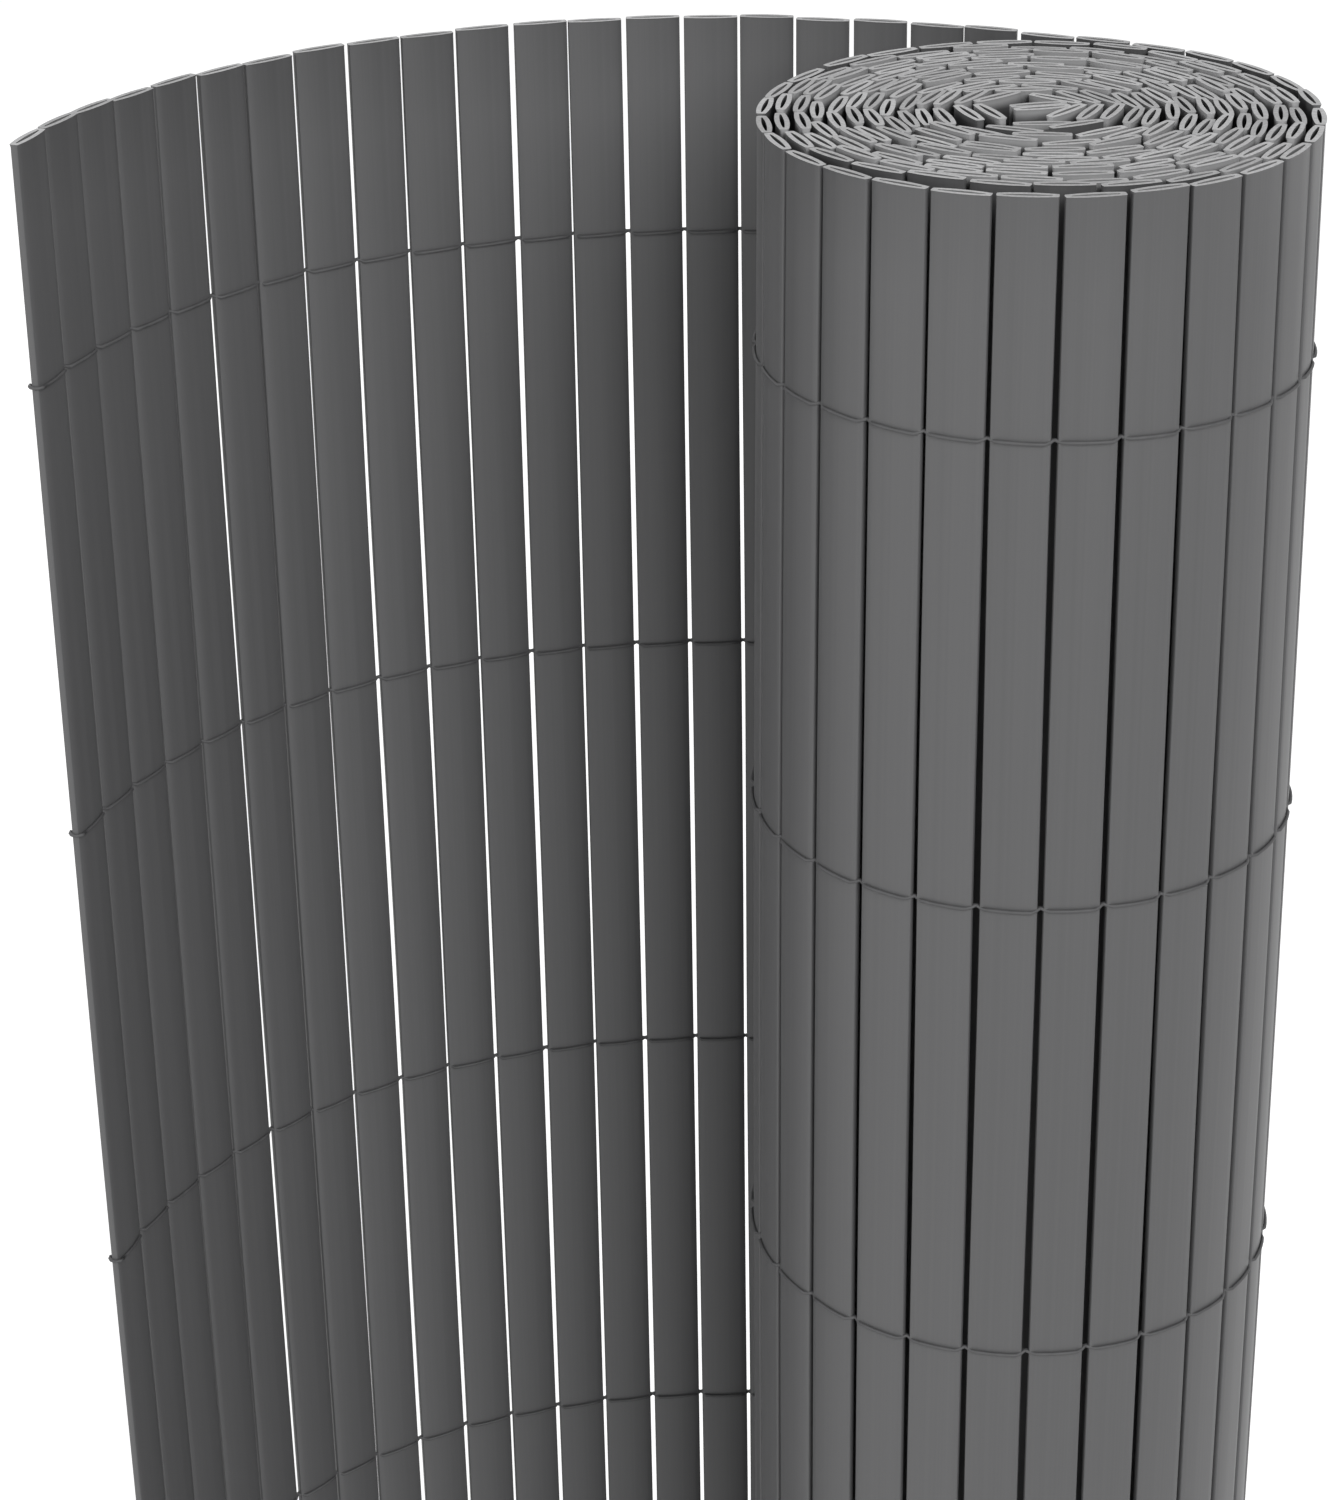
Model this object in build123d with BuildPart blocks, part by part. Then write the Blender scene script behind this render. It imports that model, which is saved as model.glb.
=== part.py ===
"""Free-standing PVC privacy screen: a long mat of hollow slats, mostly rolled up, with its end opened out.

The origin is the foot of the roll's axis, +Z is up along the slats, and the opened stretch sweeps
round behind the roll, at +Y, to its free end at -X. Sizes are in millimetres and degrees.
"""

import os
from math import cos, pi, radians, sin, sqrt, tan

from build123d import *

# Slats, which are hollow extrusions with two crowned faces
screen_height = 1000.0
slat_width = 18.0
slat_thickness = 4.0
slat_shoulder = 2.4
slat_nose = 0.8
slat_wall = 0.7
slat_gap = 2.0

# Tie wires, in rows of two strands that clasp each slat between them
row_count = 6
row_margin = 78.0
end_row_spacing = 162.0
wire_diameter = 1.2
strand_clearance = 0.1
slat_clearance = 0.02
tucked_slats = 1

# Plan of the roll
roll_radius = 90.7
core_radius = 14.0
winding_slack = 0.5
web_thickness = 1.6
lift_off_angle = 64.0

# Plan of the opened stretch: three bends, from the roll to the free end
near_bend_radius = 720.0
near_bend_length = 63.0
middle_bend_radius = 255.0
middle_bend_length = 187.0
free_bend_radius = 193.0
free_bend_length = 188.0

# Sizes that follow from those above
slat_pitch = slat_width + slat_gap
turn_spacing = slat_thickness + wire_diameter + winding_slack
open_length = near_bend_length + middle_bend_length + free_bend_length
outer_turn_length = 2 * pi * roll_radius - pi * turn_spacing
rolled_length = pi * (roll_radius**2 - core_radius**2) / turn_spacing
crown_reach = slat_width / 2 - slat_nose
crown_rise = (slat_thickness - slat_shoulder) / 2
crown_radius = (crown_reach**2 + crown_rise**2) / (2 * crown_rise)
inner_row_count = row_count - 2
inner_row_spacing = (screen_height - 2 * (row_margin + end_row_spacing)) / (inner_row_count - 1)


def rolled_plane(distance):
    """The mat's plane inside the roll, a distance along it before it leaves the roll."""
    growth = turn_spacing / (2 * pi)
    radius = sqrt(roll_radius**2 - 2 * growth * distance)
    angle = radians(lift_off_angle) - (roll_radius - radius) / growth
    along = (growth * cos(angle) - radius * sin(angle), growth * sin(angle) + radius * cos(angle))
    return Plane((radius * cos(angle), radius * sin(angle)), x_dir=along, z_dir=(0, 0, 1))


def opened_path():
    """The plan of the opened stretch, which leaves the roll along its tangent."""
    leaving = rolled_plane(0)
    with BuildLine() as path:
        near = JernArc(leaving.origin, leaving.x_dir, near_bend_radius, bend_angle(near_bend_length, near_bend_radius))
        middle = JernArc(near @ 1, near % 1, middle_bend_radius, bend_angle(middle_bend_length, middle_bend_radius))
        JernArc(middle @ 1, middle % 1, free_bend_radius, bend_angle(free_bend_length, free_bend_radius))
    return path.wire()


def bend_angle(length, radius):
    """How far a bend turns, in degrees."""
    return length / radius * 180 / pi


def slat_planes():
    """One plane for each slat, from the free end into the roll, with x along the mat and y into its bend."""
    path = opened_path()
    planes = []
    distance = open_length - slat_width / 2
    while distance > slat_width / 2 - rolled_length:
        if distance > 0:
            origin = path.position_at(distance, PositionMode.LENGTH)
            along = path.tangent_at(distance, PositionMode.LENGTH)
            planes.append(Plane(origin, x_dir=along, z_dir=(0, 0, 1)))
        else:
            planes.append(rolled_plane(-distance))
        distance -= slat_pitch
    return planes


def write_part(name, part):
    """Labels a finished piece and writes its file."""
    part.label = name
    export_step(part, f"parts/{name}.step")


def crown_height(along, depth=0):
    """Height of a slat's crowned face, or of a surface a depth below it, at a distance from its middle."""
    return sqrt((crown_radius - depth) ** 2 - along**2) - crown_radius + slat_thickness / 2


def make_slat_section():
    """Hollow section of a slat: two crowned faces that meet in blunt noses, with an even wall."""
    tip = slat_width / 2
    shoulder = crown_height(crown_reach)
    hollow_reach = tip - 2 * slat_wall
    hollow_edge = crown_height(hollow_reach, slat_wall)
    hollow_crown = crown_height(0, slat_wall)
    with BuildSketch() as section:
        with BuildLine():
            ThreePointArc((-crown_reach, shoulder), (0, crown_height(0)), (crown_reach, shoulder))
            Polyline((crown_reach, shoulder), (tip, 0), (crown_reach, -shoulder))
            ThreePointArc((crown_reach, -shoulder), (0, -crown_height(0)), (-crown_reach, -shoulder))
            Polyline((-crown_reach, -shoulder), (-tip, 0), (-crown_reach, shoulder))
        make_face()
        with BuildLine():
            ThreePointArc((-hollow_reach, hollow_edge), (0, hollow_crown), (hollow_reach, hollow_edge))
            Line((hollow_reach, hollow_edge), (hollow_reach, -hollow_edge))
            ThreePointArc((hollow_reach, -hollow_edge), (0, -hollow_crown), (-hollow_reach, -hollow_edge))
            Line((-hollow_reach, -hollow_edge), (-hollow_reach, hollow_edge))
        make_face(mode=Mode.SUBTRACT)
    return section.sketch


def make_slat(name, section, plane):
    """One slat, cut square at both ends and open right through."""
    with BuildPart() as slat:
        with BuildSketch(plane):
            add(section)
        extrude(amount=screen_height)
    write_part(name, slat.part)


def make_rolled_turns(planes):
    """The turns inside the outermost one: a spiral wall with a ridge for each slat and a thin web in each gap."""
    outer_side, inner_side = [], []
    for plane in planes:
        for along, across in (
            (slat_width / 2, web_thickness / 2),
            (0, slat_thickness / 2),
            (-slat_width / 2, web_thickness / 2),
        ):
            outer_side.append(plane.from_local_coords((along, -across)))
            inner_side.append(plane.from_local_coords((along, across)))
    with BuildPart() as turns:
        with BuildSketch():
            with BuildLine():
                Polyline(*outer_side, *reversed(inner_side), close=True)
            make_face()
        extrude(amount=screen_height)
    write_part("rolled_turns", turns.part)


def tie_row_heights():
    """Heights of the rows from the top down, where the end rows stand closer to their neighbours."""
    first_inner_row = screen_height - row_margin - end_row_spacing
    inner_rows = [first_inner_row - index * inner_row_spacing for index in range(inner_row_count)]
    return [screen_height - row_margin, *inner_rows, row_margin]


def bend_seat(planes, index):
    """Room that a straight strand needs over a slat's crowned outer face where the mat bends."""
    beside = planes[max(index - 1, 0) : index + 2]
    turn = max(planes[index].x_dir.get_angle(plane.x_dir) for plane in beside)
    return slat_clearance + crown_radius * tan(radians(turn) / 2) ** 2 / 2


def strand_outline(planes, side, seats):
    """Plan outline of a strand that runs from the crown of each slat to the next and just past the free end."""
    start = slat_width / 2 + slat_clearance
    near, far = [], []
    for index, plane in enumerate(planes):
        face = slat_thickness / 2 + seats[index]
        for along in (start + wire_diameter, 0) if index == 0 else (0,):
            near.append(plane.from_local_coords((along, side * face)))
            far.append(plane.from_local_coords((along, side * (face + wire_diameter))))
    return near + far[::-1]


def make_tie_row(name, height, outer_planes, inner_planes):
    """A row's two strands, one on each face of the mat, joined where they wrap round the free-end slat."""
    outer_seats = [bend_seat(outer_planes, index) for index in range(len(outer_planes))]
    inner_seats = [slat_clearance] * len(inner_planes)
    wrap_start = slat_thickness / 2 + outer_seats[0] + wire_diameter
    wrap_end = slat_thickness / 2 + inner_seats[0] + wire_diameter
    wrap_centre = (
        slat_width / 2 + slat_clearance + wire_diameter / 2,
        (wrap_end - wrap_start) / 2,
    )
    with BuildPart() as row:
        with BuildSketch(Plane.XY.offset(height - strand_clearance / 2)):
            with BuildLine():
                Polyline(*strand_outline(outer_planes, -1, outer_seats), close=True)
            make_face()
        extrude(amount=-wire_diameter)
        with BuildSketch(Plane.XY.offset(height + strand_clearance / 2)):
            with BuildLine():
                Polyline(*strand_outline(inner_planes, 1, inner_seats), close=True)
            make_face()
        extrude(amount=wire_diameter)
        with BuildSketch(outer_planes[0].offset(height)):
            with Locations(wrap_centre):
                Rectangle(wire_diameter, wrap_start + wrap_end)
        extrude(amount=wire_diameter + strand_clearance / 2, both=True)
    write_part(name, row.part)


os.makedirs("parts", exist_ok=True)

planes = slat_planes()
open_count = int((open_length - slat_width / 2) / slat_pitch) + 1
separate_count = int((open_length - slat_width / 2 + outer_turn_length) / slat_pitch) + 1
slat_section = make_slat_section()

for number, plane in enumerate(planes[:open_count], start=1):
    make_slat(f"open_slat_{number:02}", slat_section, plane)

for number, plane in enumerate(planes[open_count:separate_count], start=1):
    make_slat(f"roll_slat_{number:02}", slat_section, plane)

make_rolled_turns(planes[separate_count:])

for number, height in enumerate(tie_row_heights(), start=1):
    make_tie_row(
        f"tie_row_{number}",
        height,
        planes[: separate_count + 1],
        planes[: open_count + tucked_slats],
    )
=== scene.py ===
"""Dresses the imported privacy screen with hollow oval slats, twisted tie wires and a pale studio.

Lengths are in metres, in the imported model's frame: the origin is the foot of the roll's axis, +Z is up, and
the opened stretch sweeps round behind the roll to its free end at -X.
"""

from dataclasses import dataclass
from math import atan2, cos, exp, pi, radians, sin, sqrt
from random import Random

import bpy
from mathutils import Matrix, Vector


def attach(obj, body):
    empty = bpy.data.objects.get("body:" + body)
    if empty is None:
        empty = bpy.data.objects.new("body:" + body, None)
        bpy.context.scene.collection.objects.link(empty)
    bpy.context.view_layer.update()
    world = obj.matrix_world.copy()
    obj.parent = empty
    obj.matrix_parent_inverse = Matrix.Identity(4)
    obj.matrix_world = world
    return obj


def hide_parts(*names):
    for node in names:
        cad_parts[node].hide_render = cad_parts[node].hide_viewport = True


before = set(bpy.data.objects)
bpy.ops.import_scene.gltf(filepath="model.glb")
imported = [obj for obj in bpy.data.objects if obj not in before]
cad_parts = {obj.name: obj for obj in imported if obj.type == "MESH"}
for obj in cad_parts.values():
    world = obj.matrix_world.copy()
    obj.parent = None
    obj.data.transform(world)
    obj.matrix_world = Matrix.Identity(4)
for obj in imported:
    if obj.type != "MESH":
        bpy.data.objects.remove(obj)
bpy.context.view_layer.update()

# The solids' sizes
screen_height = 1.0
slat_width = 0.018
slat_thickness = 0.004
slat_shoulder = 0.0024
slat_wall = 0.0007
slat_pitch = 0.020
wire_diameter = 0.0012
roll_radius = 0.0907
core_radius = 0.014
turn_spacing = 0.0057
lift_off_angle = radians(64)
bends = ((0.720, 0.063), (0.255, 0.187), (0.193, 0.188))
row_margin = 0.078
end_row_spacing = 0.162
row_count = 6

# The visible slats' section, and the torn edges that the saw has left at their ends
swollen_width = 0.0188
edge_rounding = 0.0004
side_wall_share = 1.5
shoulder_wall_share = 0.7
burr_depth = 0.0008
burr_flare = 0.00035
burr_lip = 0.0006
sharp_edge = radians(50)

# The strands' places over a slat, as shares of its width, their twist in a gap, and the wires' steps
crown_shares = (0.40, 0.25, 0.08, -0.08, -0.25, -0.40)
twist_shares = (-1, -0.5, 0, 0.5, 1)
twist_reach = 0.0015
twist_turn = radians(80)
twist_spread = 0.4
loop_steps = 6
wire_sides = 8

# What handling has done to the mat
roll_bulge = 0.0036
free_end_splay = 0.003
front_slack = 0.0065
front_slack_direction = radians(250)
back_slack = 0.0022
back_slack_direction = radians(40)
slack_narrowness = 6
open_crescent = 0.002

# The core, where the first two slats lie folded and the turns round them are looser
core_shift = 0.006
core_slack = 0.0026
core_slack_direction = radians(266)
core_spread = 0.0042
loose_radius = 0.030
innermost_radius = 0.015
folded_shift = 0.0025, 0.0015
folded_turn = radians(8)
folded_gap = 0.0003

# How far the first slats from the free end inward have slid along the mat and up, and how many degrees
# they have turned in their ties
end_slides = (0, 0, 0, 0, 0, -0.0006, 0.0003, 0.0005)
end_rises = (0.003, 0.0028, 0.0014, 0.001, 0.0004, 0, 0, 0)
end_turns = (-4, -4, -4, -2, 0, 0, -1, -1)

# Most that one slat strays, by itself, from its place, and the seeds that its faults are drawn with
fault_seed = 5
bow_seed = 11
most_slide = 0.0002
most_lean = 0.0002
most_stand = 0.0002
most_bow = 0.0003
bow_length = 0.36
most_tilt = radians(1)
most_shortfall = 0.0008
most_inner_stand = 0.0004
most_inner_tilt = radians(3)
most_inner_shortfall = 0.0015

# Rings along a slat's length, steps over each crowned face, and steps round half of each nose
visible_steps = 33, 8, 4
rolled_steps = 5, 6, 3

# Order of the materials on a slat's mesh
face_finish, end_finish, bore_finish = 0, 1, 2

# Colours, linear, and how deep the painted light from above reaches down the bores and the wound slats' faces
slat_colour = (0.098, 0.098, 0.100)
# The ends' pale colour is partly the sawn PVC's own and partly painted light from above
end_and_painted_light_colour = (0.43, 0.43, 0.434)
# Painted light: a pale colour that stands in for light from above falling into the bores and the tight gaps
# between wound turns
painted_light_colour = (0.37, 0.37, 0.374)
wire_colour = (0.074, 0.074, 0.076)
bore_painted_light_depth = 0.0024
face_painted_light_depth = 0.004

# The spread that noise mostly keeps to, and the Mix node's colour sockets, whose names aren't theirs alone
noise_spread = 0.3, 0.7
mix_from, mix_to, mix_result = 6, 7, 2

# The studio
floor_reach = 20.0
floor_tone = (0.6, 0.6, 0.6, 1)
floor_glow = 0.74
sky_level = 0.39
lamp_target = (-0.1, 0.0, 0.6)
lamps = (
    ("key", (1.146, -2.673, 2.665), 2.0, 0.60),
    ("side", (-3.09, -1.588, 1.83), 1.5, 0.3),
    ("back", (-0.9, 2.9, 2.6), 2.0, 0.22),
)

# The photograph's viewpoint
photo_width, photo_height = 1339, 1500
focal_pixels = 3624
camera_place = Vector((-0.120, -1.1263, 1.3255))
camera_pitch = radians(26.025)
camera_roll = radians(-1.0)
sensor_size = 36.0

open_length = sum(length for radius, length in bends)
spiral_growth = turn_spacing / (2 * pi)
outer_turn_length = 2 * pi * roll_radius - pi * turn_spacing
first_distance = open_length - slat_width / 2
open_count = int(first_distance / slat_pitch) + 1
separate_count = int((first_distance + outer_turn_length) / slat_pitch) + 1
inner_row_spacing = (screen_height - 2 * (row_margin + end_row_spacing)) / (row_count - 3)


@dataclass
class Slat:
    """A slat's middle, its place along the mat, measured out from the lift-off, and its own small faults."""

    middle: Vector
    along: Vector
    distance: float
    slide: float
    lean: float
    stand: float
    bow: float
    bow_start: float
    tilt: float
    rise: float
    top: float
    tone: float
    light_painted: float


def rolled_place(distance):
    """A point of the roll's spiral, a distance inward along it, and the way out along the mat there."""
    radius = sqrt(roll_radius**2 - 2 * spiral_growth * distance)
    angle = lift_off_angle - (roll_radius - radius) / spiral_growth
    outward = Vector((cos(angle), sin(angle), 0))
    onward = Vector((-sin(angle), cos(angle), 0))
    return radius * outward, (spiral_growth * outward + radius * onward).normalized()


def opened_place(distance):
    """A point of the opened stretch, a distance out along its bends, and the way along the mat there."""
    point, along = rolled_place(0)
    heading = atan2(along.y, along.x)
    for radius, length in bends:
        turn = min(distance, length) / radius
        turned = heading + turn
        point += radius * Vector((sin(turned) - sin(heading), cos(heading) - cos(turned), 0))
        heading = turned
        distance -= min(distance, length)
    return point, Vector((cos(heading), sin(heading), 0))


def turn_point(radius, angle):
    """A point of the wound turns.

    Those inside the outermost have drawn away from it at the front and back, and apart near the core.
    """
    if radius > roll_radius - spiral_growth * ((lift_off_angle - angle) % (2 * pi)) - turn_spacing / 2:
        return Vector((radius * cos(angle), radius * sin(angle), 0))
    share = (radius - core_radius) / (roll_radius - core_radius)
    drawn = share * front_slack * ((1 + cos(angle - front_slack_direction)) / 2) ** slack_narrowness
    drawn += share * back_slack * ((1 + cos(angle - back_slack_direction)) / 2) ** slack_narrowness
    turn_start = loose_radius - spiral_growth * ((core_slack_direction + pi - angle) % (2 * pi))
    if radius < turn_start:
        drawn += core_slack * sqrt(max(cos(angle - core_slack_direction), 0))
    drawn += core_spread * max(1 - radius / loose_radius, 0)
    left = radius - drawn
    return Vector((left * cos(angle), left * sin(angle) + core_shift * (1 - share), 0))


def inner_places():
    """Middle and way out along the mat of each slat inside the outermost turn, and whether it takes the
    painted light from above.

    The slats stand at an even pitch to the core, and those that face an open crescent get no painted light.
    """
    first = separate_count * slat_pitch - first_distance
    radius = sqrt(roll_radius**2 - 2 * spiral_growth * first)
    angle = lift_off_angle - (roll_radius - radius) / spiral_growth
    step = radians(0.5)
    places, walked, last = [], slat_pitch, None
    while radius > innermost_radius:
        point = turn_point(radius, angle)
        if last:
            walked += (point - last).length
            if walked >= slat_pitch:
                # A slat in a tight gap is marked for the painted light from above; one that faces an open
                # crescent is not
                crescent = (turn_point(radius + turn_spacing, angle) - point).length - turn_spacing
                places.append((point, (last - point).normalized(), float(crescent < open_crescent)))
                walked -= slat_pitch
        last = point
        angle -= step
        radius -= spiral_growth * step
    return places


def sway(point, distance, height):
    """How far the mat stands from its plan at a height: the roll bulges, and the free end splays."""
    rise = sin(pi * height / screen_height)
    if distance <= 0:
        return rise * roll_bulge * point / roll_radius
    lift_off, along = rolled_place(0)
    near_roll = exp(-distance / bends[0][1]) * roll_bulge * lift_off / roll_radius
    near_end = (distance / open_length) ** 2 * Vector((-free_end_splay, 0, 0))
    return rise * (near_roll + near_end)


def mat_axes(slat, height):
    """Middle of a slat at a height, the way along the mat, and the way to the mat's inner face."""
    point = slat.middle + sway(slat.middle, slat.distance, height)
    along = Matrix.Rotation(slat.tilt, 3, "Z") @ slat.along
    inward = Vector((-along.y, along.x, 0))
    level = 2 * height / screen_height - 1
    bowed = slat.bow * sin(2 * pi * (slat.bow_start + height / bow_length))
    point += along * (slat.slide + slat.lean * level + bowed) + inward * slat.stand * level
    return point + Vector((0, 0, height)), along, inward


def make_slats():
    """Every slat of the mat, from the free end to the first few, which lie folded in the core."""
    faults = Random(fault_seed)
    bows = Random(bow_seed)
    places = []
    for number in range(separate_count):
        distance = first_distance - number * slat_pitch
        middle, along = opened_place(distance) if distance > 0 else rolled_place(-distance)
        places.append((middle, along, 0.0))
    places += inner_places() + folded_places()
    slats = []
    for number, (middle, along, light_painted) in enumerate(places):
        seated = number < len(end_slides)
        inside = number >= separate_count
        stand = most_inner_stand if inside else most_stand
        tilt = most_inner_tilt if inside else most_tilt
        shortfall = most_inner_shortfall if inside else most_shortfall
        rise = end_rises[number] if seated else 0
        slats.append(
            Slat(
                middle,
                along,
                first_distance - number * slat_pitch,
                faults.uniform(-most_slide, most_slide) + (end_slides[number] if seated else 0),
                faults.uniform(-most_lean, most_lean),
                faults.uniform(-stand, stand),
                bows.uniform(0, most_bow),
                bows.uniform(0, 1),
                faults.uniform(-tilt, tilt) + (radians(end_turns[number]) if seated else 0),
                rise,
                screen_height + rise - faults.uniform(0, shortfall),
                faults.uniform(-1, 1),
                light_painted,
            )
        )
    return slats


def folded_places():
    """The mat's first slats, which lie flat on each other in the core."""
    along = Vector((cos(folded_turn), sin(folded_turn), 0))
    across = Vector((-along.y, along.x, 0))
    middle = Vector((*folded_shift, 0)) + Vector((0, core_shift, 0))
    spacing = slat_thickness + folded_gap
    # Both folded slats are marked for the painted light from above
    return [(middle + across * layer * spacing, along, 1.0) for layer in (-0.5, 0.5)]


def oval(tip, nose, crown, shoulder, crown_steps, nose_steps):
    """Outline of a flat oval, from one tip round to it again: crowned faces between rounded noses."""
    reach = tip - nose
    quarter = [
        (reach + nose * cos(step / nose_steps * pi / 2), shoulder * sin(step / nose_steps * pi / 2))
        for step in range(nose_steps)
    ]
    face = [reach * (1 - 2 * step / crown_steps) for step in range(crown_steps + 1)]
    crowned = [(along, crown - (crown - shoulder) * (along / reach) ** 2) for along in face]
    upper = quarter + crowned + [(-along, across) for along, across in reversed(quarter)]
    lower = [(-along, -across) for along, across in upper]
    return upper[:-1] + lower[:-1]


def slat_mesh(name, slats, steps, materials):
    """Mesh of hollow slats. Each is a wall between two ovals, open at both ends and burred by the saw."""
    stations, crown_steps, nose_steps = steps
    plain, burred = (
        oval(
            swollen_width / 2,
            edge_rounding,
            slat_thickness / 2 + flare,
            slat_shoulder / 2 + flare,
            crown_steps,
            nose_steps,
        )
        + oval(
            swollen_width / 2 - side_wall_share * wall,
            edge_rounding,
            slat_thickness / 2 - wall,
            slat_shoulder / 2 - shoulder_wall_share * wall,
            crown_steps,
            nose_steps,
        )
        for flare, wall in ((0, slat_wall), (burr_flare, slat_wall + burr_lip))
    )
    count = len(plain) // 2
    vertices, faces, sections, tones, light_painted_values, finishes = [], [], [], [], [], []
    for number, slat in enumerate(slats):
        first = len(vertices)
        length = slat.top - slat.rise
        heights = [slat.rise + length * station / (stations - 1) for station in range(stations)]
        heights[1:1] = [slat.rise + burr_depth]
        heights[-1:-1] = [slat.top - burr_depth]
        for height in heights:
            middle, along, inward = mat_axes(slat, height)
            for across_mat, through in burred if height in (heights[0], heights[-1]) else plain:
                vertices.append(middle + along * across_mat + inward * through)
                sections.append((across_mat + number * slat_pitch, through, slat.top - height))
                tones.append(slat.tone)
                light_painted_values.append(slat.light_painted)
        for station in range(len(heights) - 1):
            outer = first + station * 2 * count
            inner = outer + count
            outer_above, inner_above = outer + 2 * count, inner + 2 * count
            for point in range(count):
                after = (point + 1) % count
                faces.append((outer + point, outer + after, outer_above + after, outer_above + point))
                faces.append((inner + after, inner + point, inner_above + point, inner_above + after))
                finishes += [face_finish, bore_finish]
        last = first + (len(heights) - 1) * 2 * count
        for point in range(count):
            after = (point + 1) % count
            finishes += [end_finish, end_finish]
            faces.append((first + after, first + point, first + count + point, first + count + after))
            faces.append((last + point, last + after, last + count + after, last + count + point))
    mesh = bpy.data.meshes.new(name)
    mesh.from_pydata(vertices, [], faces)
    mesh.attributes.new("section", "FLOAT_VECTOR", "POINT").data.foreach_set(
        "vector", [value for section in sections for value in section]
    )
    mesh.attributes.new("tone", "FLOAT", "POINT").data.foreach_set("value", tones)
    mesh.attributes.new("light_painted", "FLOAT", "POINT").data.foreach_set("value", light_painted_values)
    for material in materials:
        mesh.materials.append(material)
    mesh.polygons.foreach_set("material_index", finishes)
    mesh.polygons.foreach_set("use_smooth", [True] * len(faces))
    mesh.set_sharp_from_angle(angle=sharp_edge)
    return mesh


def add_piece(name, mesh, slot, *nodes):
    """Adds a mesh that stands for CAD nodes, and hides those nodes. It keeps the materials it was built with;
    the slot argument is not used.
    """
    piece = bpy.data.objects.new(name, mesh)
    bpy.context.scene.collection.objects.link(piece)
    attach(piece, "root")
    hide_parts(*nodes)


def strand_points(slats, height, side):
    """Path of one strand of a tie row, from the free end. It swaps faces with the other in every gap."""
    wire_radius = wire_diameter / 2
    face = slat_thickness / 2 + wire_radius
    points = []
    for number, slat in enumerate(slats):
        middle, along, inward = mat_axes(slat, height)
        turned = side * (-1) ** number
        for share in crown_shares:
            crown = face - (slat_thickness - slat_shoulder) / 2 * (2 * share) ** 2
            slant = Vector((0, 0, -share * wire_radius))
            points.append(middle + along * swollen_width * share - inward * turned * crown + slant)
        if number + 1 < len(slats):
            beyond, next_along, next_inward = mat_axes(slats[number + 1], height)
            gap = (middle - along * swollen_width / 2 + beyond + next_along * swollen_width / 2) / 2
            for share in twist_shares:
                angle = share * twist_turn
                spread = wire_radius * (1 + twist_spread * abs(share))
                points.append(
                    gap
                    - along * share * twist_reach
                    + inward * turned * sin(angle) * spread
                    + Vector((0, 0, cos(angle) * wire_radius))
                )
    return points


def wire_mesh(name, path, material):
    """Mesh of a round wire along a path that stays mostly level."""
    radius, sides = wire_diameter / 2, wire_sides
    vertices, faces = [], []
    for index, point in enumerate(path):
        before, after = path[max(index - 1, 0)], path[min(index + 1, len(path) - 1)]
        run = (after - before).normalized()
        up = (Vector((0, 0, 1)) - run * run.z).normalized()
        beside = run.cross(up)
        for side in range(sides):
            angle = 2 * pi * side / sides
            vertices.append(point + radius * (cos(angle) * up + sin(angle) * beside))
    for index in range(len(path) - 1):
        ring = index * sides
        for side in range(sides):
            after = (side + 1) % sides
            faces.append((ring + side, ring + after, ring + sides + after, ring + sides + side))
    faces.append(tuple(range(sides)))
    faces.append(tuple(reversed(range(len(vertices) - sides, len(vertices)))))
    mesh = bpy.data.meshes.new(name)
    mesh.from_pydata(vertices, [], faces)
    mesh.materials.append(material)
    mesh.polygons.foreach_set("use_smooth", [True] * len(faces))
    return mesh


def tie_row_path(slats, height):
    """One wire doubled round the free-end slat, whose two halves are the row's two strands."""
    outer = strand_points(slats, height, 1)
    inner = strand_points(slats, height, -1)
    middle, along, inward = mat_axes(slats[0], height)
    loop_radius = slat_thickness / 2 + wire_diameter / 2
    centre = middle + along * (swollen_width / 2 - loop_radius + wire_diameter / 2)
    loop = []
    for step in range(loop_steps + 1):
        angle = pi * (step / loop_steps - 0.5)
        loop.append(centre + along * cos(angle) * loop_radius + inward * sin(angle) * loop_radius)
    return outer[::-1] + loop + inner


def row_heights():
    """Heights of the tie rows, from the top down."""
    first_inner = screen_height - row_margin - end_row_spacing
    inner = [first_inner - index * inner_row_spacing for index in range(row_count - 2)]
    return [screen_height - row_margin, *inner, row_margin]


def new_material(name):
    """A material with a Principled shader alone, that shader, and a function that adds nodes."""
    material = bpy.data.materials.new(name)
    material.use_nodes = True
    tree = material.node_tree
    shader = tree.nodes["Principled BSDF"]

    def add(kind, inputs=None, **settings):
        node = tree.nodes.new(kind)
        for key, value in settings.items():
            setattr(node, key, value)
        for key, value in (inputs or {}).items():
            if isinstance(value, bpy.types.NodeSocket):
                tree.links.new(value, node.inputs[key])
            else:
                node.inputs[key].default_value = value
        return node

    return material, shader, add


def streaks(add, across, lengthwise, detail):
    """Noise drawn out along the slats, finer across them than along them."""
    section = add("ShaderNodeAttribute", attribute_name="section")
    stretched = add(
        "ShaderNodeMapping", {"Vector": section.outputs["Vector"], "Scale": (across, across, lengthwise)}
    )
    return add(
        "ShaderNodeTexNoise", {"Vector": stretched.outputs["Vector"], "Scale": 1.0, "Detail": detail}
    ).outputs["Fac"]


def map_range(add, value, from_low, from_high, low, high):
    """Maps a value from one range to another."""
    ends = {"From Min": from_low, "From Max": from_high, "To Min": low, "To Max": high}
    return add("ShaderNodeMapRange", {"Value": value, **ends}).outputs["Result"]


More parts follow.
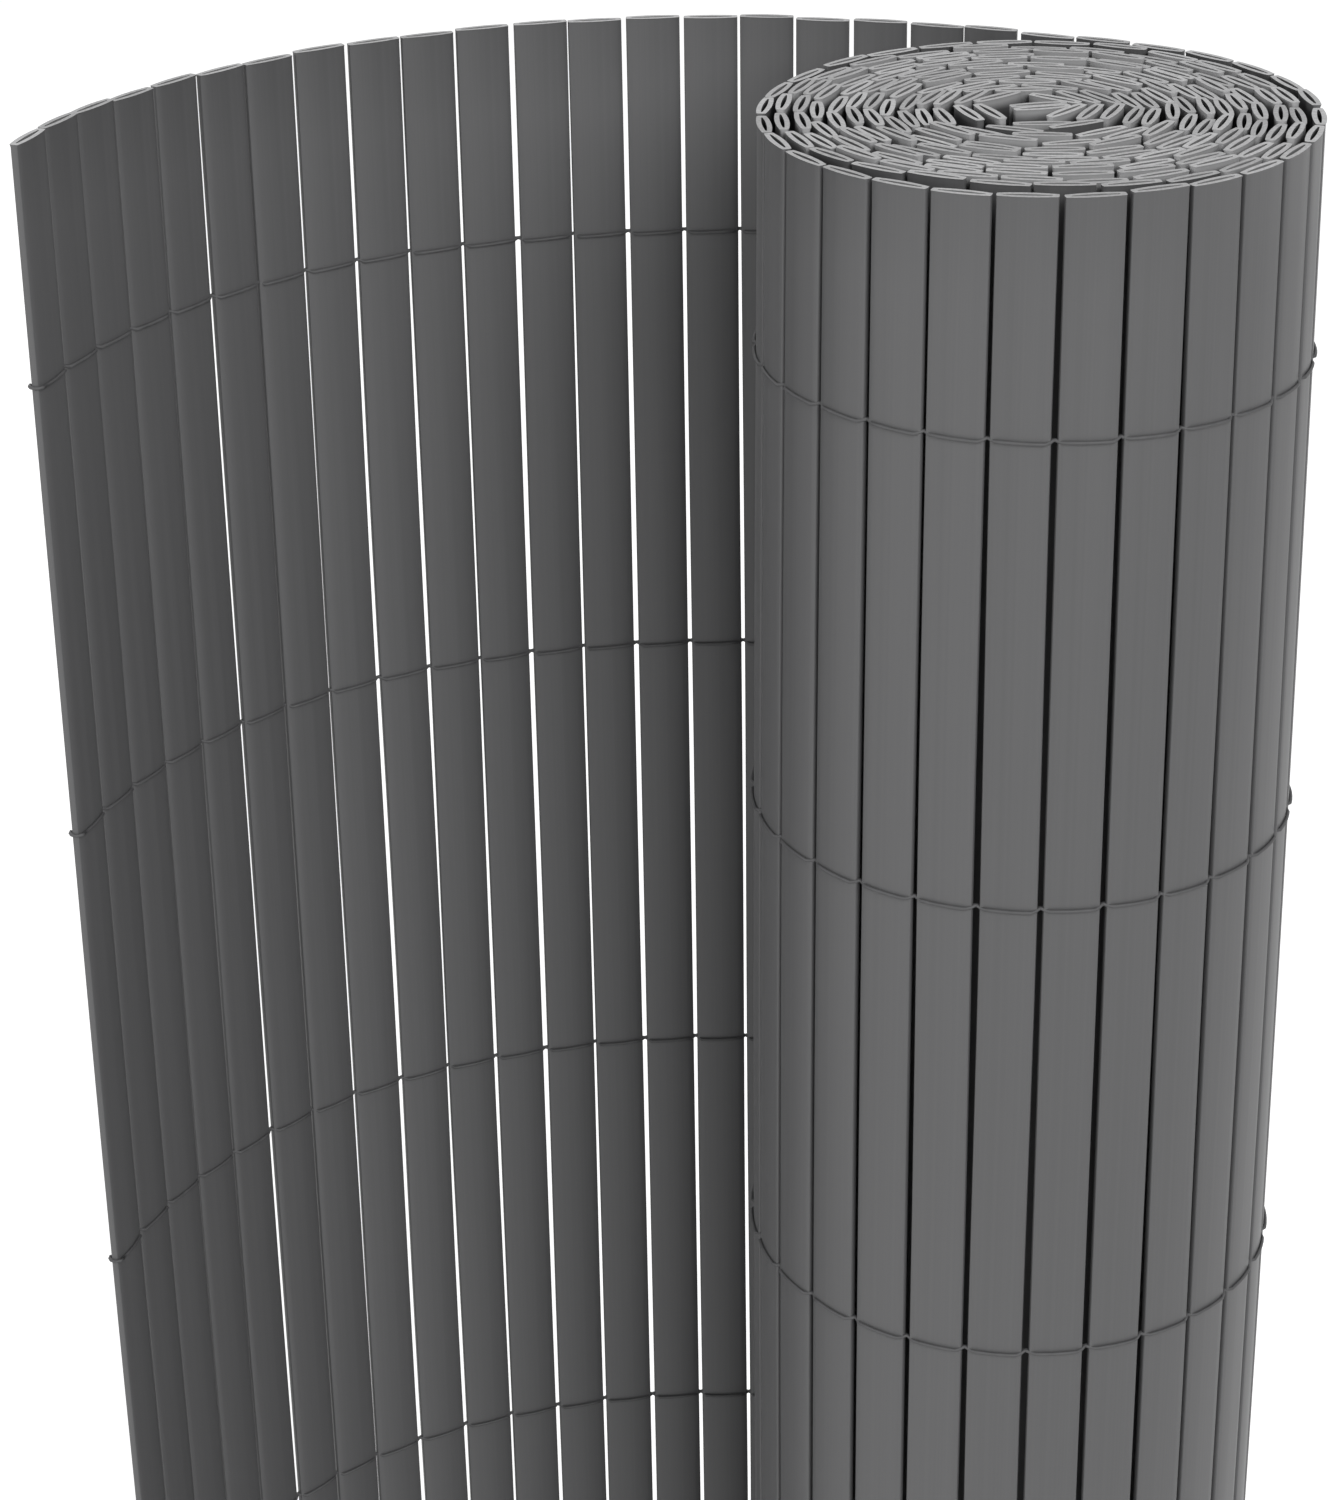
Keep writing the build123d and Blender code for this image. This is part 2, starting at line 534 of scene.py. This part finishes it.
def ranged(add, value, low, high):
    """Maps noise from its usual spread to a range."""
    return map_range(add, value, *noise_spread, low, high)


def product(add, first, second):
    """Product of two values."""
    return add("ShaderNodeMath", {0: first, 1: second}, operation="MULTIPLY").outputs["Value"]


def tinted(add, colour, level):
    """A colour made lighter or darker by a value."""
    mixed = add("ShaderNodeVectorMath", {0: colour, "Scale": level}, operation="SCALE")
    return mixed.outputs["Vector"]


def slat_level(add, low, high):
    """Level for each slat's own tone, within a range."""
    tone = add("ShaderNodeAttribute", attribute_name="tone").outputs["Fac"]
    return map_range(add, tone, -1, 1, low, high)


def pvc_material(name, roughness, painted_light_depth=0, everywhere=True):
    """Extruded PVC: fine die lines, broad faint streaks, and a tone of its own for each slat.

    A pale painted light, standing in for light from above, thins out from the slats' ends down to a depth.
    Where it isn't everywhere, it lies on the slats marked for it alone.
    """
    material, shader, add = new_material(name)
    links = material.node_tree.links
    fine = streaks(add, across=900, lengthwise=3, detail=4)
    broad = streaks(add, across=160, lengthwise=2, detail=2)
    level = product(add, ranged(add, fine, 0.96, 1.04), ranged(add, broad, 0.95, 1.05))
    base = tinted(add, slat_colour, product(add, level, slat_level(add, 0.96, 1.04)))
    # Painted light: a pale colour, standing in for light from above, that fades from the ends down into the
    # bores and gaps
    if painted_light_depth:
        section = add("ShaderNodeAttribute", attribute_name="section")
        depth = add("ShaderNodeSeparateXYZ", {"Vector": section.outputs["Vector"]}).outputs["Z"]
        painted_light = map_range(add, depth, painted_light_depth / 3, painted_light_depth, 1, 0)
        if not everywhere:
            light_painted = add("ShaderNodeAttribute", attribute_name="light_painted")
            painted_light = product(add, painted_light, light_painted.outputs["Fac"])
        mixed = add("ShaderNodeMix", data_type="RGBA")
        links.new(painted_light, mixed.inputs["Factor"])
        links.new(base, mixed.inputs[mix_from])
        mixed.inputs[mix_to].default_value = (*painted_light_colour, 1)
        base = mixed.outputs[mix_result]
    links.new(base, shader.inputs["Base Color"])
    links.new(ranged(add, broad, roughness - 0.05, roughness + 0.05), shader.inputs["Roughness"])
    bump = add("ShaderNodeBump", {"Height": fine, "Strength": 0.25, "Distance": 0.00008})
    links.new(bump.outputs["Normal"], shader.inputs["Normal"])
    return material


def cut_material(name):
    """Sawn PVC at the slats' ends, paler than the faces, partly as sawn PVC is and partly as painted light
    from above, and slightly torn.
    """
    material, shader, add = new_material(name)
    links = material.node_tree.links
    place = add("ShaderNodeTexCoord")
    grain = add("ShaderNodeTexNoise", {"Vector": place.outputs["Object"], "Scale": 900, "Detail": 3})
    level = product(add, ranged(add, grain.outputs["Fac"], 0.85, 1.15), slat_level(add, 0.85, 1.15))
    links.new(tinted(add, end_and_painted_light_colour, level), shader.inputs["Base Color"])
    shader.inputs["Roughness"].default_value = 0.8
    bump = add("ShaderNodeBump", {"Height": grain.outputs["Fac"], "Strength": 0.4, "Distance": 0.0002})
    links.new(bump.outputs["Normal"], shader.inputs["Normal"])
    return material


def wire_material(name):
    """Steel wire in a thin plastic coat, with a little unevenness in its shade and shine."""
    material, shader, add = new_material(name)
    links = material.node_tree.links
    place = add("ShaderNodeTexCoord")
    blotches = add("ShaderNodeTexNoise", {"Vector": place.outputs["Object"], "Scale": 250, "Detail": 2})
    level = ranged(add, blotches.outputs["Fac"], 0.85, 1.15)
    links.new(tinted(add, wire_colour, level), shader.inputs["Base Color"])
    links.new(ranged(add, blotches.outputs["Fac"], 0.55, 0.7), shader.inputs["Roughness"])
    return material


def camera_shader(tree, seen, unseen):
    """Mixes two shaders: one for what the camera, mirrors and glass see, and one for all other rays."""
    path = tree.nodes.new("ShaderNodeLightPath")
    either = tree.nodes.new("ShaderNodeMath")
    either.operation = "ADD"
    tree.links.new(path.outputs["Is Camera Ray"], either.inputs[0])
    tree.links.new(path.outputs["Is Glossy Ray"], either.inputs[1])
    clear = tree.nodes.new("ShaderNodeMath")
    clear.operation = "ADD"
    clear.use_clamp = True
    tree.links.new(either.outputs["Value"], clear.inputs[0])
    tree.links.new(path.outputs["Is Transmission Ray"], clear.inputs[1])
    mix = tree.nodes.new("ShaderNodeMixShader")
    tree.links.new(clear.outputs["Value"], mix.inputs["Fac"])
    tree.links.new(unseen, mix.inputs[1])
    tree.links.new(seen, mix.inputs[2])
    return mix.outputs["Shader"]


def make_floor():
    """Pale floor that shows white to the camera and keeps the object's shadow."""
    mesh = bpy.data.meshes.new("floor")
    corners = [(x * floor_reach, y * floor_reach, 0) for x, y in ((-1, -1), (1, -1), (1, 1), (-1, 1))]
    mesh.from_pydata(corners, [], [(0, 1, 2, 3)])
    floor = bpy.data.objects.new("floor", mesh)
    bpy.context.scene.collection.objects.link(floor)
    material = bpy.data.materials.new("pale_floor")
    material.use_nodes = True
    tree = material.node_tree
    tree.nodes.clear()
    lit = tree.nodes.new("ShaderNodeBsdfDiffuse")
    lit.inputs["Color"].default_value = floor_tone
    glow = tree.nodes.new("ShaderNodeEmission")
    glow.inputs["Strength"].default_value = floor_glow
    brightened = tree.nodes.new("ShaderNodeAddShader")
    tree.links.new(lit.outputs["BSDF"], brightened.inputs[0])
    tree.links.new(glow.outputs["Emission"], brightened.inputs[1])
    output = tree.nodes.new("ShaderNodeOutputMaterial")
    shader = camera_shader(tree, brightened.outputs["Shader"], lit.outputs["BSDF"])
    tree.links.new(shader, output.inputs["Surface"])
    mesh.materials.append(material)


def make_world():
    """Even light from all round, behind which the camera sees plain white."""
    world = bpy.data.worlds.new("studio")
    bpy.context.scene.world = world
    world.use_nodes = True
    tree = world.node_tree
    tree.nodes.clear()
    white = tree.nodes.new("ShaderNodeBackground")
    white.inputs["Color"].default_value = (1, 1, 1, 1)
    soft = tree.nodes.new("ShaderNodeBackground")
    soft.inputs["Color"].default_value = (1, 1, 1, 1)
    soft.inputs["Strength"].default_value = sky_level
    output = tree.nodes.new("ShaderNodeOutputWorld")
    shader = camera_shader(tree, white.outputs["Background"], soft.outputs["Background"])
    tree.links.new(shader, output.inputs["Surface"])


def make_lamp(name, place, size, level):
    """A square soft lamp. Its level is the brightness of a white surface that faces it from the target."""
    lamp = bpy.data.lights.new(name, "AREA")
    lamp.size = size
    away = Vector(lamp_target) - Vector(place)
    lamp.energy = level * pi**2 * away.length_squared
    holder = bpy.data.objects.new(name, lamp)
    holder.location = place
    holder.rotation_euler = away.to_track_quat("-Z", "Y").to_euler()
    bpy.context.scene.collection.objects.link(holder)


def make_camera():
    """Camera at the photograph's viewpoint, pitched down and turned slightly about its own axis."""
    data = bpy.data.cameras.new("camera")
    data.sensor_width = sensor_size
    data.lens = focal_pixels * sensor_size / max(photo_width, photo_height)
    forward = Vector((0, cos(camera_pitch), -sin(camera_pitch)))
    level_up = Vector((0, sin(camera_pitch), cos(camera_pitch)))
    right = Vector((cos(camera_roll), 0, 0)) + level_up * sin(camera_roll)
    up = Vector((-sin(camera_roll), 0, 0)) + level_up * cos(camera_roll)
    camera = bpy.data.objects.new("camera", data)
    turned = Matrix((right, up, -forward)).transposed().to_4x4()
    camera.matrix_world = Matrix.Translation(camera_place) @ turned
    bpy.context.scene.collection.objects.link(camera)
    bpy.context.scene.camera = camera


slats = make_slats()
slat_faces = pvc_material("slat_pvc", 0.5)
slat_ends = cut_material("slat_ends")
# The bores, and the wound slats' faces, take painted light from above near their ends
slat_bores = pvc_material("slat_bores", 0.6, bore_painted_light_depth)
rolled_faces = pvc_material("rolled_faces", 0.6, face_painted_light_depth, everywhere=False)
wire_coat = wire_material("tie_wire")

for number, slat in enumerate(slats[:separate_count], start=1):
    opened = number <= open_count
    node = f"open_slat_{number:02}" if opened else f"roll_slat_{number - open_count:02}"
    mesh = slat_mesh(node, [slat], visible_steps, (slat_faces, slat_ends, slat_bores))
    add_piece(f"dressed_{node}", mesh, "slat_pvc", node)

inside = slats[separate_count:]
turns = slat_mesh("rolled_turns", inside, rolled_steps, (rolled_faces, slat_ends, slat_bores))
add_piece("dressed_rolled_turns", turns, "slat_pvc", "rolled_turns")

for number, height in enumerate(row_heights(), start=1):
    path = tie_row_path(slats[: separate_count + 1], height)
    mesh = wire_mesh(f"tie_row_{number}", path, wire_coat)
    add_piece(f"dressed_tie_row_{number}", mesh, "tie_wire", f"tie_row_{number}")

make_floor()
make_world()
for name, place, size, level in lamps:
    make_lamp(name, place, size, level)
make_camera()
bpy.context.scene.view_settings.view_transform = "Standard"
